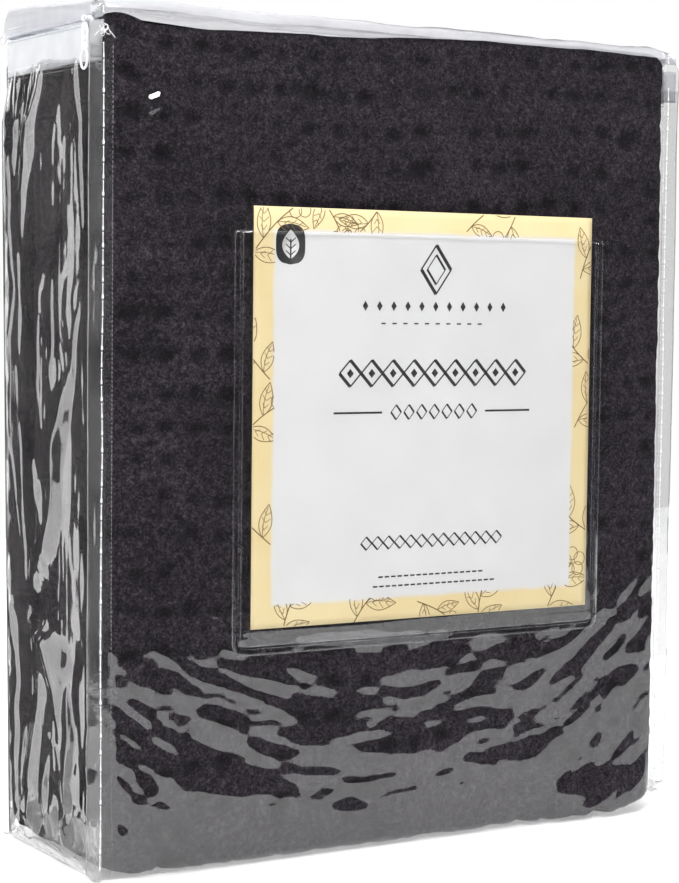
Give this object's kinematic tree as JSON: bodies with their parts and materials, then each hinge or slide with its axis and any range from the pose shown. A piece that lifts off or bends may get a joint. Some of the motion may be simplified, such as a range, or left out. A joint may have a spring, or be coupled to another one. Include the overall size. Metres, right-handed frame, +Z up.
{
  "type": "packaged folded throw blanket",
  "caption": "Waffle-weave cotton throw folded into an upright block, in a clear vinyl bag with sewn gussets, a zip-round lid and an insert card in a front pocket.",
  "frame": {"origin": "centre of the bag's footprint, on the surface that it stands on", "axes": "+Z up to the lid, -Y out of the front with the card pocket, +X to the right as seen from the front"},
  "size_m": [0.334, 0.1142, 0.4],
  "materials": {
    "waffle_cotton": "matt, soft waffle weave",
    "clear_vinyl": "clear, glossy film",
    "zip_tape": "woven tape",
    "zip_coil": "nylon coil",
    "thread": "sewing thread",
    "zip_plastic": "moulded, satin gloss",
    "card": "coated card"
  },
  "bodies": {
    "bag": {"blanket": "waffle_cotton", "wrap_sheet": "clear_vinyl", "left_gusset": "clear_vinyl", "right_gusset": "clear_vinyl", "front_left_stitches": "thread", "front_right_stitches": "thread", "back_left_stitches": "thread", "back_right_stitches": "thread", "bottom_left_stitches": "thread", "bottom_right_stitches": "thread", "lower_zip_tape": "zip_tape", "lower_zip_coil": "zip_coil", "lower_tape_stitches": "thread", "card_pocket": "clear_vinyl"},
    "lid": {"lid_sheet": "clear_vinyl", "upper_zip_tape": "zip_tape", "upper_zip_coil": "zip_coil", "upper_tape_stitches": "thread", "lid_flange_stitches": "thread"},
    "slider": {"zip_slider": "zip_plastic"},
    "pull": {"slider_pull": "zip_plastic"},
    "card": {"insert_card": "card"}
  },
  "joints": [
    {"name": "lid_fold", "type": "hinge", "parent": "bag", "child": "lid", "pos_m": [0, -0.056, 0.391], "axis": [1, 0, 0], "range_deg": [0, 160]},
    {"name": "slider_run", "type": "slide", "parent": "bag", "child": "slider", "axis": [0, 1, 0], "range_m": [0, 0.09]},
    {"name": "pull_swing", "type": "hinge", "parent": "slider", "child": "pull", "pos_m": [-0.1634, -0.0425, 0.3945], "axis": [0, 1, 0], "range_deg": [0, 150]},
    {"name": "card_lift", "type": "slide", "parent": "bag", "child": "card", "axis": [0, 0, 1], "range_m": [-0.003, 0.064]}
  ]
}
